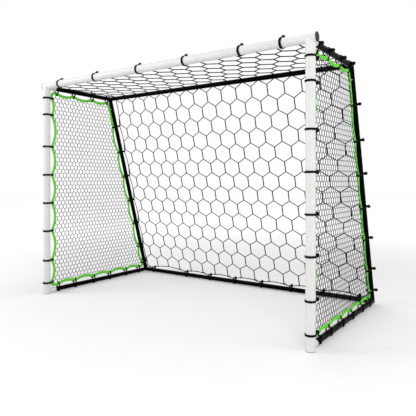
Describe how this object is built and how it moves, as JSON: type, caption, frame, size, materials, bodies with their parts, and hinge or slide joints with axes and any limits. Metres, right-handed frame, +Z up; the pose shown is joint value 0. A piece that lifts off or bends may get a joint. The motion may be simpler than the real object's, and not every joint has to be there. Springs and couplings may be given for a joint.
{
  "type": "framed net goal",
  "caption": "Free-standing tubular goal with a net roof folded over a rear bar into a sloping back, fine-mesh sides and ball-bungee ties.",
  "frame": {"origin": "on the ground, under the middle of the whole object's box", "axes": "+X along the crossbar, +Y from the open mouth to the back, +Z up"},
  "size_m": [2.071, 1.0905, 1.5284],
  "materials": {
    "white_steel": "white powder coat on steel tube, satin",
    "black_steel": "black powder coat on steel tube, satin",
    "cap_plastic": "moulded black polyethylene cap, matt",
    "zinc_screw": "zinc-plated button-head screw",
    "net_cord": "black braided polyethylene net cord",
    "side_mesh": "dark grey knotless mesh twine",
    "green_edging": "bright green braided edging rope",
    "elastic_cord": "black braided elastic cord",
    "ball_plastic": "moulded black plastic ball"
  },
  "bodies": {
    "root": {"crossbar": "white_steel", "left_post": "white_steel", "right_post": "white_steel", "left_crossbar_cap": "cap_plastic", "right_crossbar_cap": "cap_plastic", "left_foot_cap": "cap_plastic", "right_foot_cap": "cap_plastic", "left_top_rail": "black_steel", "right_top_rail": "black_steel", "rear_top_bar": "black_steel", "left_rear_post": "black_steel", "right_rear_post": "black_steel", "left_ground_rail": "black_steel", "right_ground_rail": "black_steel", "rear_ground_bar": "black_steel", "left_top_corner": "black_steel", "right_top_corner": "black_steel", "left_ground_corner": "black_steel", "right_ground_corner": "black_steel", "post_screws": "zinc_screw", "socket_screws": "zinc_screw", "corner_screws": "zinc_screw", "top_net": "net_cord", "rear_net": "net_cord", "net_edge_cord": "net_cord", "left_side_net": "side_mesh", "right_side_net": "side_mesh", "left_side_edging": "green_edging", "right_side_edging": "green_edging", "crossbar_loops": "elastic_cord", "crossbar_balls": "ball_plastic", "left_post_loops": "elastic_cord", "left_post_balls": "ball_plastic", "right_post_loops": "elastic_cord", "right_post_balls": "ball_plastic", "left_top_rail_loops": "elastic_cord", "left_top_rail_balls": "ball_plastic", "right_top_rail_loops": "elastic_cord", "right_top_rail_balls": "ball_plastic", "left_rear_post_loops": "elastic_cord", "left_rear_post_balls": "ball_plastic", "right_rear_post_loops": "elastic_cord", "right_rear_post_balls": "ball_plastic", "left_ground_rail_loops": "elastic_cord", "left_ground_rail_balls": "ball_plastic", "right_ground_rail_loops": "elastic_cord", "right_ground_rail_balls": "ball_plastic", "rear_ground_bar_loops": "elastic_cord", "rear_ground_bar_balls": "ball_plastic"}
  },
  "joints": []
}
